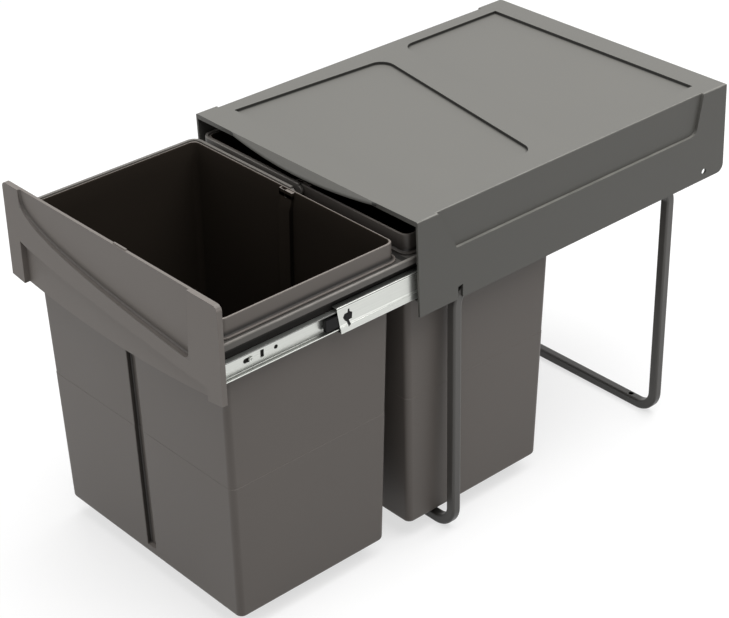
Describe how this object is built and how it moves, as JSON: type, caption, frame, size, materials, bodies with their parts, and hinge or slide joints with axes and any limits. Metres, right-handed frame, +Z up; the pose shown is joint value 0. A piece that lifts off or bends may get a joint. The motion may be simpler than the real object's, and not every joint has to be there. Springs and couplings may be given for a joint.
{
  "type": "pull out bin frame",
  "caption": "Pull-out waste bin frame: a cover on bent tube legs, telescopic slides and a drawer with a wave-shaped front panel that carries plastic bins with bail handles.",
  "frame": {"origin": "on the floor, midway between the four screw holes in the two floor bars", "axes": "+Z up; +Y to the rear, along the drawer's way in; +X to the right as seen from the front"},
  "size_m": [0.3, 0.6194, 0.353],
  "materials": {
    "cover_plastic": "fine grained",
    "panel_plastic": "fine grained",
    "bin_plastic": "smooth, satin",
    "frame_plastic": "satin",
    "coated_steel": "powder coated",
    "zinc_steel": "zinc plated",
    "bearing_steel": "polished",
    "black_plastic": "satin",
    "buffer_rubber": "matt"
  },
  "bodies": {
    "frame": {"top_cover": "cover_plastic", "front_leg": "coated_steel", "rear_leg": "coated_steel", "tube_plugs": "black_plastic", "left_side_rail": "coated_steel", "right_side_rail": "coated_steel", "left_outer_slide": "zinc_steel", "right_outer_slide": "zinc_steel", "left_rear_buffer": "buffer_rubber", "right_rear_buffer": "buffer_rubber", "slide_rivets": "zinc_steel"},
    "drawer": {"carriage_frame": "frame_plastic", "front_panel": "panel_plastic", "panel_screws": "zinc_steel", "left_inner_slide": "zinc_steel", "right_inner_slide": "zinc_steel", "inner_slide_screws": "zinc_steel", "front_bin": "bin_plastic", "rear_bin": "bin_plastic", "rear_handle": "frame_plastic"},
    "front_bail": {"front_handle": "frame_plastic"},
    "left_middle": {"left_middle_slide": "zinc_steel", "left_stop_clip": "black_plastic"},
    "right_middle": {"right_middle_slide": "zinc_steel", "right_stop_clip": "black_plastic"},
    "left_outer_run": {"left_outer_cage": "black_plastic", "left_outer_balls": "bearing_steel"},
    "right_outer_run": {"right_outer_cage": "black_plastic", "right_outer_balls": "bearing_steel"},
    "left_inner_run": {"left_inner_cage": "black_plastic", "left_inner_balls": "bearing_steel"},
    "right_inner_run": {"right_inner_cage": "black_plastic", "right_inner_balls": "bearing_steel"}
  },
  "joints": [
    {"name": "drawer_slide", "type": "slide", "parent": "frame", "child": "drawer", "axis": [0, -1, 0], "range_m": [-0.198, 0.192]},
    {"name": "front_handle_swing", "type": "hinge", "parent": "drawer", "child": "front_bail", "pos_m": [0, -0.29978, 0.3235], "axis": [0, 1, 0], "range_deg": [0, 180]},
    {"name": "left_middle_slide", "type": "slide", "parent": "frame", "child": "left_middle", "axis": [0, -1, 0], "range_m": [-0.099, 0.096]},
    {"name": "left_outer_run_slide", "type": "slide", "parent": "frame", "child": "left_outer_run", "axis": [0, -1, 0], "range_m": [-0.0495, 0.048]},
    {"name": "left_inner_run_slide", "type": "slide", "parent": "frame", "child": "left_inner_run", "axis": [0, -1, 0], "range_m": [-0.1485, 0.144]},
    {"name": "right_middle_slide", "type": "slide", "parent": "frame", "child": "right_middle", "axis": [0, -1, 0], "range_m": [-0.099, 0.096]},
    {"name": "right_outer_run_slide", "type": "slide", "parent": "frame", "child": "right_outer_run", "axis": [0, -1, 0], "range_m": [-0.0495, 0.048]},
    {"name": "right_inner_run_slide", "type": "slide", "parent": "frame", "child": "right_inner_run", "axis": [0, -1, 0], "range_m": [-0.1485, 0.144]}
  ],
  "couplings": [
    {"joint": "left_middle_slide", "follows": "drawer_slide", "ratio": 0.5},
    {"joint": "left_outer_run_slide", "follows": "drawer_slide", "ratio": 0.25},
    {"joint": "left_inner_run_slide", "follows": "drawer_slide", "ratio": 0.75},
    {"joint": "right_middle_slide", "follows": "drawer_slide", "ratio": 0.5},
    {"joint": "right_outer_run_slide", "follows": "drawer_slide", "ratio": 0.25},
    {"joint": "right_inner_run_slide", "follows": "drawer_slide", "ratio": 0.75}
  ]
}
